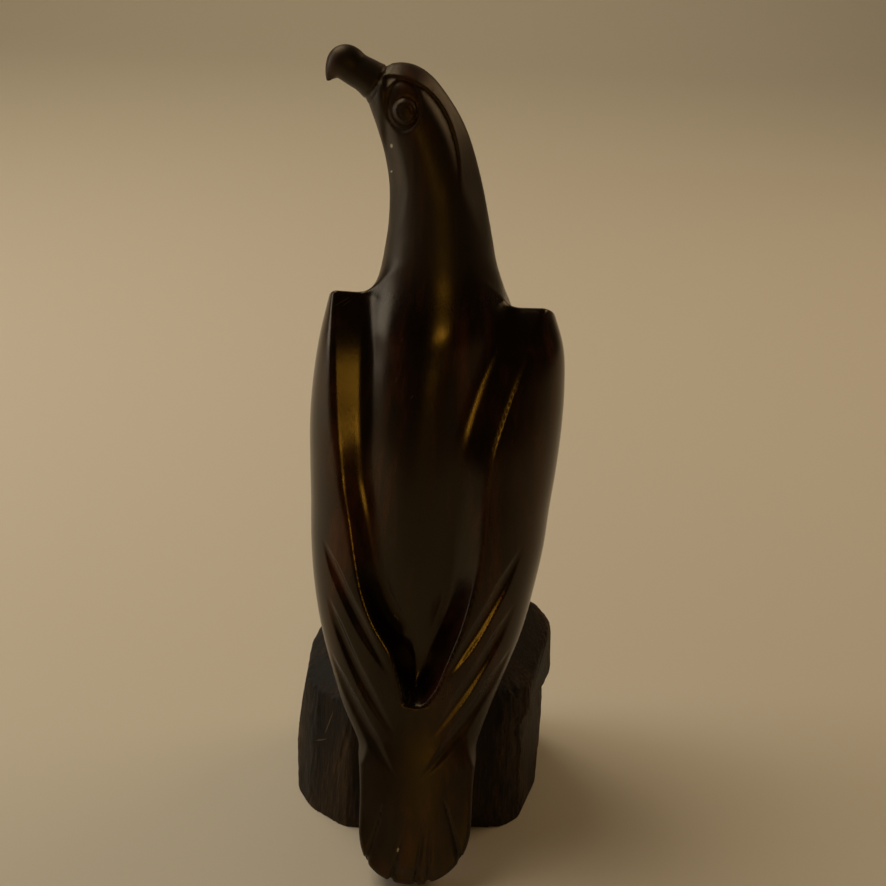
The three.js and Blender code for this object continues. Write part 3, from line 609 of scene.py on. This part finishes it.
# The surface's normals, read over a little more than a face so that ridges shade evenly, and the share
# of hewn wood.
def readSurface(points):
    blur = 0.6
    order = np.argsort(points[:, 2], kind="stable")
    normals = np.zeros_like(points)
    hewn = np.zeros(len(points))
    for start in range(0, len(points), pointsAtOnce):
        part = order[start:start + pointsAtOnce]
        p = points[part]
        for axis in range(3):
            ahead, behind = p.copy(), p.copy()
            ahead[:, axis] += blur
            behind[:, axis] -= blur
            normals[part, axis] = carvingDistance(*ahead.T)[0] - carvingDistance(*behind.T)[0]
        hewn[part] = carvingDistance(*p.T)[1]
    return normals / np.linalg.norm(normals, axis=1, keepdims=True), smoothstep(hewn, -0.3, 0.5)


def readPoints(mesh):
    flat = np.empty(len(mesh.vertices) * 3)
    mesh.vertices.foreach_get("co", flat)
    return flat.reshape(-1, 3) / millimetre


def addAttribute(mesh, name, values):
    mark = mesh.attributes.new(name, "FLOAT", "POINT")
    mark.data.foreach_set("value", values)


def makeCarving():
    axes, values = sampleGrid(carvingSettings["cell"])
    points, quads = meshGrid(axes, values)
    print("carving: found", len(quads), "quads")
    mesh = bpy.data.meshes.new("carving")
    mesh.from_pydata((settle(points) * millimetre).tolist(), [], quads.tolist())
    piece = bpy.data.objects.new("carving", mesh)
    bpy.context.collection.objects.link(piece)
    ratio = carvingSettings["triangles"] / (2 * len(quads))
    if ratio < 1:
        thin = piece.modifiers.new("thin", "DECIMATE")
        thin.ratio = ratio
        keepEvaluated(piece)
    print("carving: thinned to", len(piece.data.polygons), "faces")
    low, high = [np.array(corner) / millimetre for corner in cadBox]
    points = np.clip(settle(readPoints(piece.data)), low, high)
    piece.data.vertices.foreach_set("co", (points * millimetre).ravel())
    piece.data.polygons.foreach_set("use_smooth", np.ones(len(piece.data.polygons), bool))
    normals, hewn = readSurface(points)
    x, y, z = points.T
    roughest = 0.35 + 0.65 * smoothstep(x, 4, 16) * smoothstep(-y, 22, 30)
    addAttribute(piece.data, "hewn", hewn)
    addAttribute(piece.data, "torn", hewn * roughest * smoothstep(z, 0.6, 3))
    piece.data.materials.append(polishedWood())
    tear = piece.modifiers.new("torn grain", "NODES")
    tear.node_group = tornGrain(hewnWood())
    keepEvaluated(piece)
    torn = np.empty(len(normals) * 3)
    piece.data.vertices.foreach_get("normal", torn)
    share = hewn[:, None]
    normals = normals * (1 - share) + torn.reshape(-1, 3) * share
    piece.data.normals_split_custom_set_from_vertices(normals.tolist())
    return piece


# Turns the evaluated object into the plain mesh and drops its modifiers.
def keepEvaluated(piece):
    depsgraph = bpy.context.evaluated_depsgraph_get()
    mesh = bpy.data.meshes.new_from_object(piece.evaluated_get(depsgraph))
    old = piece.data
    piece.modifiers.clear()
    piece.data = mesh
    mesh.name = "carving"
    bpy.data.meshes.remove(old)


# Adds a node, sets its properties and socket values, and links its inputs.
def addNode(tree, kind, at, links=None, **settings):
    node = tree.nodes.new(kind)
    node.location = at
    for name, value in settings.items():
        if name in node.bl_rna.properties:
            setattr(node, name, value)
        else:
            node.inputs[name.replace("_", " ")].default_value = value
    for name, source in (links or {}).items():
        tree.links.new(source, node.inputs[name])
    return node


# Torn grain of the hewn plinth: pits stretched up the grain, sunk into the wood where "torn" is high.
def tornGrain(material):
    group = bpy.data.node_groups.new("tornGrain", "GeometryNodeTree")
    surface = group.interface
    surface.new_socket("Geometry", in_out="INPUT", socket_type="NodeSocketGeometry")
    for name, value in (("Depth", "tornDepth"), ("Width", "tornWidth"), ("Length", "tornLength")):
        socket = surface.new_socket(name, in_out="INPUT", socket_type="NodeSocketFloat")
        socket.default_value = carvingSettings[value] * millimetre
    surface.new_socket("Seed", in_out="INPUT", socket_type="NodeSocketFloat").default_value = 4.0
    surface.new_socket("Geometry", in_out="OUTPUT", socket_type="NodeSocketGeometry")
    start = addNode(group, "NodeGroupInput", (-1200, 0))
    place = addNode(group, "GeometryNodeInputPosition", (-1200, -300))
    size = addNode(group, "ShaderNodeCombineXYZ", (-1000, -150),
                   {"X": start.outputs["Width"], "Y": start.outputs["Width"], "Z": start.outputs["Length"]})
    stretched = addNode(group, "ShaderNodeVectorMath", (-800, -200),
                        {0: place.outputs["Position"], 1: size.outputs["Vector"]}, operation="DIVIDE")
    pits = addNode(group, "ShaderNodeTexNoise", (-600, -200),
                   {"Vector": stretched.outputs["Vector"], "W": start.outputs["Seed"]},
                   noise_dimensions="4D", Scale=1.0, Detail=4.0, Roughness=0.62, Distortion=0.4)
    deep = addNode(group, "ShaderNodeMapRange", (-400, -200), {"Value": pits.outputs["Fac"]},
                   From_Min=0.62, From_Max=0.34)
    torn = addNode(group, "GeometryNodeInputNamedAttribute", (-600, -450), data_type="FLOAT", Name="torn")
    sunk = addNode(group, "ShaderNodeMath", (-200, -200),
                   {0: deep.outputs["Result"], 1: torn.outputs["Attribute"]}, operation="MULTIPLY")
    amount = addNode(group, "ShaderNodeMath", (-50, -200), {0: sunk.outputs[0], 1: start.outputs["Depth"]},
                     operation="MULTIPLY")
    inward = addNode(group, "ShaderNodeMath", (100, -200), {0: amount.outputs[0]}, operation="MULTIPLY")
    inward.inputs[1].default_value = -1
    normal = addNode(group, "GeometryNodeInputNormal", (100, -400))
    offset = addNode(group, "ShaderNodeVectorMath", (250, -250),
                     {0: normal.outputs["Normal"], "Scale": inward.outputs[0]}, operation="SCALE")
    moved = addNode(group, "GeometryNodeSetPosition", (400, 0),
                    {"Geometry": start.outputs["Geometry"], "Offset": offset.outputs["Vector"]})
    real = addNode(group, "GeometryNodeRealizeInstances", (560, 0), {"Geometry": moved.outputs["Geometry"]})
    hewn = addNode(group, "GeometryNodeInputNamedAttribute", (400, -300), data_type="FLOAT", Name="hewn")
    mostly = addNode(group, "FunctionNodeCompare", (560, -250), {"A": hewn.outputs["Attribute"]},
                     data_type="FLOAT", operation="GREATER_THAN", B=0.5)
    dressed = addNode(group, "GeometryNodeSetMaterial", (740, 0),
                      {"Geometry": real.outputs["Geometry"], "Selection": mostly.outputs["Result"]},
                      Material=material)
    addNode(group, "NodeGroupOutput", (920, 0), {"Geometry": dressed.outputs["Geometry"]})
    return group


# Linear colour from an sRGB hex code.
def colour(code):
    parts = [int(code[i:i + 2], 16) / 255 for i in (1, 3, 5)]
    return [c / 12.92 if c <= 0.04045 else ((c + 0.055) / 1.055) ** 2.4 for c in parts] + [1]


def ramp(tree, at, source, stops):
    node = tree.nodes.new("ShaderNodeValToRGB")
    node.location = at
    while len(node.color_ramp.elements) < len(stops):
        node.color_ramp.elements.new(0.5)
    for element, (where, shade) in zip(node.color_ramp.elements, stops):
        element.position = where
        element.color = colour(shade) if isinstance(shade, str) else (shade, shade, shade, 1)
    tree.links.new(source, node.inputs["Fac"])
    return node.outputs["Color"]


# Object coordinates stretched so that a pattern is across mm wide and along mm tall.
def grainCoordinates(tree, at, across, along):
    place = tree.nodes.new("ShaderNodeTexCoord")
    place.location = (at[0] - 400, at[1])
    scale = (1 / (across * millimetre), 1 / (across * millimetre), 1 / (along * millimetre))
    stretch = addNode(tree, "ShaderNodeMapping", (at[0] - 200, at[1]), {"Vector": place.outputs["Object"]},
                      Scale=scale)
    return stretch.outputs["Vector"]


# Pale chips, nicks and scratches in the wood, each a thin ellipsoid: middle, half length, half width and
# turn in the view from behind.
chips = [
    [(-20.5, -14.8, 271.8), 1.0, 0.6, 80],
    [(-20.4, -12.3, 262.1), 0.8, 0.4, 60],
    [(-8.7, -77.9, 17.4), 0.9, 0.4, 80],
]
scratches = [
    [(-37.1, -14.6, 214.5), 3.4, 0.16, 28],
    [(-35.4, -14.2, 214.0), 2.2, 0.14, 34],
    [(-25.9, -15.5, 215.6), 2.7, 0.18, 73],
    [(-14.2, -29.5, 205.9), 0.9, 0.22, 60],
    [(-15.9, -31.9, 191.4), 0.9, 0.24, 75],
    [(-9.9, -35.3, 186.4), 1.0, 0.26, 50],
    [(-22.3, -30.2, 178.6), 0.8, 0.22, 65],
]
hewnScratches = [
    [(-42.6, -32.3, 33.0), 3.6, 0.3, 38],
    [(-39.2, -33.6, 42.6), 6.2, 0.25, 74],
]


# A mask that is 1 on the marks.
def markMask(tree, marks, at):
    place = addNode(tree, "ShaderNodeTexCoord", at)
    mask = None
    for i, (middle, length, width, turn) in enumerate(marks):
        y = at[1] - 60 * i
        size = (length * millimetre, 3 * millimetre, width * millimetre)
        inside = addNode(tree, "ShaderNodeMapping", (at[0] + 180, y), {"Vector": place.outputs["Object"]},
                         vector_type="TEXTURE", Location=[c * millimetre for c in middle],
                         Rotation=(0, -math.radians(turn), 0), Scale=size)
        away = addNode(tree, "ShaderNodeVectorMath", (at[0] + 340, y), {0: inside.outputs["Vector"]},
                       operation="LENGTH")
        near = addNode(tree, "ShaderNodeMapRange", (at[0] + 500, y), {"Value": away.outputs["Value"]},
                       From_Min=1.15, From_Max=0.7)
        if mask is None:
            mask = near.outputs["Result"]
        else:
            mask = addNode(tree, "ShaderNodeMath", (at[0] + 660, y), {0: mask, 1: near.outputs["Result"]},
                           operation="MAXIMUM").outputs[0]
    return mask


def paintMarks(tree, shade, marks, at, code):
    mask = markMask(tree, marks, at)
    mix = tree.nodes.new("ShaderNodeMix")
    mix.data_type = "RGBA"
    mix.location = (at[0] + 900, at[1])
    factor, first, second = mix.inputs[0], mix.inputs[6], mix.inputs[7]
    tree.links.new(mask, factor)
    tree.links.new(shade, first)
    second.default_value = colour(code)
    return mix.outputs[2]


# Waxed heartwood: near black, with red-brown streaks up the grain and a soft deep gloss that is duller
# on the neck and head and on the tail.
def polishedWood():
    material = bpy.data.materials.new("polishedIronwood")
    material.use_nodes = True
    tree = material.node_tree
    shader = tree.nodes["Principled BSDF"]
    streaks = addNode(tree, "ShaderNodeTexNoise", (-900, 300),
                      {"Vector": grainCoordinates(tree, (-900, 300), 5.5, 90)},
                      Scale=1.0, Detail=5.0, Roughness=0.6, Distortion=0.25)
    broad = addNode(tree, "ShaderNodeTexNoise", (-900, 0),
                    {"Vector": grainCoordinates(tree, (-900, 0), 24, 160)},
                    Scale=1.0, Detail=2.0, Roughness=0.5)
    both = addNode(tree, "ShaderNodeMath", (-700, 200), {0: streaks.outputs["Fac"], 1: broad.outputs["Fac"]},
                   operation="ADD")
    half = addNode(tree, "ShaderNodeMath", (-560, 200), {0: both.outputs[0]}, operation="MULTIPLY")
    half.inputs[1].default_value = 0.5
    shade = ramp(tree, (-400, 300), half.outputs[0],
                 [(0.38, "#070302"), (0.5, "#130804"), (0.58, "#2a130a"), (0.7, "#432213")])
    marked = paintMarks(tree, shade, scratches, (-1100, 1500), "#33271a")
    marked = paintMarks(tree, marked, chips, (-1100, 1900), "#b0a997")
    tree.links.new(marked, shader.inputs["Base Color"])
    pores = addNode(tree, "ShaderNodeTexNoise", (-900, -300),
                    {"Vector": grainCoordinates(tree, (-900, -300), 0.5, 9)},
                    Scale=1.0, Detail=3.0, Roughness=0.7)
    gloss = ramp(tree, (-400, -100), pores.outputs["Fac"], [(0.3, 0.16), (0.75, 0.25)])
    place = addNode(tree, "ShaderNodeTexCoord", (-900, -600))
    parts = addNode(tree, "ShaderNodeSeparateXYZ", (-740, -600), {"Vector": place.outputs["Object"]})
    duller = addNode(tree, "ShaderNodeMapRange", (-560, -600), {"Value": parts.outputs["Z"]},
                     From_Min=0.21, From_Max=0.24, To_Min=0.0, To_Max=0.24)
    low = addNode(tree, "ShaderNodeMapRange", (-560, -800), {"Value": parts.outputs["Z"]},
                  From_Min=0.085, From_Max=0.055, To_Min=0.0, To_Max=0.2)
    worn = addNode(tree, "ShaderNodeMath", (-380, -700),
                   {0: duller.outputs["Result"], 1: low.outputs["Result"]}, operation="ADD")
    rough = addNode(tree, "ShaderNodeMath", (-200, -200), {0: gloss, 1: worn.outputs[0]},
                    operation="ADD")
    tree.links.new(rough.outputs[0], shader.inputs["Roughness"])
    bump = addNode(tree, "ShaderNodeBump", (-300, -400), {"Height": pores.outputs["Fac"]}, Strength=0.12)
    bump.inputs["Distance"].default_value = 0.0002
    tree.links.new(bump.outputs["Normal"], shader.inputs["Normal"])
    shader.inputs["IOR"].default_value = 1.46
    shader.inputs["Specular Tint"].default_value = colour("#ffe6bb")
    return material


# The same wood left from the chisel: dry and torn up the grain, dark brown with no shine.
def hewnWood():
    material = bpy.data.materials.new("hewnIronwood")
    material.use_nodes = True
    tree = material.node_tree
    shader = tree.nodes["Principled BSDF"]
    fibres = addNode(tree, "ShaderNodeTexNoise", (-900, 300),
                     {"Vector": grainCoordinates(tree, (-900, 300), 1.1, 22)},
                     Scale=1.0, Detail=6.0, Roughness=0.7, Distortion=0.3)
    broad = addNode(tree, "ShaderNodeTexNoise", (-900, 0),
                    {"Vector": grainCoordinates(tree, (-900, 0), 14, 60)}, Scale=1.0, Detail=2.0)
    both = addNode(tree, "ShaderNodeMath", (-700, 200), {0: fibres.outputs["Fac"], 1: broad.outputs["Fac"]},
                   operation="ADD")
    half = addNode(tree, "ShaderNodeMath", (-560, 200), {0: both.outputs[0]}, operation="MULTIPLY")
    half.inputs[1].default_value = 0.5
    shade = ramp(tree, (-400, 300), half.outputs[0],
                 [(0.36, "#080501"), (0.48, "#160e05"), (0.56, "#2c1d0a"), (0.68, "#4c3718")])
    marked = paintMarks(tree, shade, hewnScratches, (-1100, 1100), "#54452f")
    tree.links.new(marked, shader.inputs["Base Color"])
    shader.inputs["Roughness"].default_value = 0.62
    shader.inputs["IOR"].default_value = 1.33
    bump = addNode(tree, "ShaderNodeBump", (-300, -300), {"Height": fibres.outputs["Fac"]}, Strength=0.7)
    bump.inputs["Distance"].default_value = 0.0006
    tree.links.new(bump.outputs["Normal"], shader.inputs["Normal"])
    return material


# Plain matt studio paper.
def paleFloor():
    material = bpy.data.materials.new("studioPaper")
    material.use_nodes = True
    shader = material.node_tree.nodes["Principled BSDF"]
    shader.inputs["Base Color"].default_value = colour("#d9d0c0")
    shader.inputs["Roughness"].default_value = 0.8
    return material


# Paper that lies flat under the carving and sweeps up far behind it.
def makeFloor():
    bend, radius, bendSteps = 1.9, 0.9, 12
    profile = [(-3.0, 0.0), (bend, 0.0)]
    for i in range(1, bendSteps + 1):
        a = math.pi / 2 * i / bendSteps
        profile.append((bend + radius * math.sin(a), radius * (1 - math.cos(a))))
    profile.append((bend + radius, 4.0))
    points = [(side, y, z) for y, z in profile for side in (-7.0, 7.0)]
    faces = [(2 * i, 2 * i + 1, 2 * i + 3, 2 * i + 2) for i in range(len(profile) - 1)]
    mesh = bpy.data.meshes.new("floor")
    mesh.from_pydata(points, [], faces)
    mesh.polygons.foreach_set("use_smooth", [True] * len(faces))
    mesh.materials.append(paleFloor())
    floor = bpy.data.objects.new("floor", mesh)
    bpy.context.collection.objects.link(floor)


# A soft rectangular light that faces the target.
def softLight(name, place, target, size, power, code):
    light = bpy.data.lights.new(name, "AREA")
    light.shape = "RECTANGLE"
    light.size, light.size_y = size
    light.energy = power
    light.color = colour(code)[:3]
    lamp = bpy.data.objects.new(name, light)
    bpy.context.collection.objects.link(lamp)
    lamp.location = place
    way = mathutils.Vector(target) - mathutils.Vector(place)
    lamp.rotation_euler = way.to_track_quat("-Z", "Y").to_euler()
    return lamp


# Daylight from the left and warm room light; the lamp behind the camera makes the gold reflections.
def makeLights():
    world = bpy.data.worlds.new("studio")
    bpy.context.scene.world = world
    world.use_nodes = True
    back = world.node_tree.nodes["Background"]
    back.inputs["Color"].default_value = colour("#b89a70")
    back.inputs["Strength"].default_value = 0.07
    softLight("ceiling", (-0.75, 0.4, 1.4), (-0.1, 0.4, 0.0), (1.2, 0.9), 11, "#ffefd0")
    softLight("backdrop", (-0.3, 1.7, 1.9), (-0.3, 2.7, 0.3), (3.0, 0.6), 9, "#ffefd0")
    softLight("lamp", (0.4, -3.0, 0.66), (0, 0, 0.18), (0.8, 0.2), 5, "#ffc850")
    softLight("window", (-1.2, 0.1, 0.5), (0, 0, 0.15), (0.5, 0.9), 3.4, "#f7f3ee")
    softLight("wall", (1.15, 0.6, 0.95), (0, 0, 0.25), (0.8, 0.7), 4.2, "#ffdcae")


def makeCamera():
    camera = bpy.data.cameras.new("photo")
    camera.sensor_width = 36
    camera.lens = 1400 / 886 * 36  # focal length of 1400 px in the photograph's frame
    camera.clip_start = 0.01
    holder = bpy.data.objects.new("photo", camera)
    bpy.context.collection.objects.link(holder)
    tilt = mathutils.Matrix.Rotation(math.radians(66), 4, "X")
    roll = mathutils.Matrix.Rotation(math.radians(2.4), 4, "Z")
    holder.rotation_euler = (tilt @ roll).to_euler()
    holder.location = (0.002, -0.503, 0.377)
    bpy.context.scene.camera = holder


makeCamera()
makeLights()
makeFloor()
print("camera, lights and floor: done")
carving = makeCarving()
print("carving: done", len(carving.data.polygons), "faces")
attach(carving, "root")
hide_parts("bird_carving")
bpy.context.scene.view_settings.view_transform = "Standard"
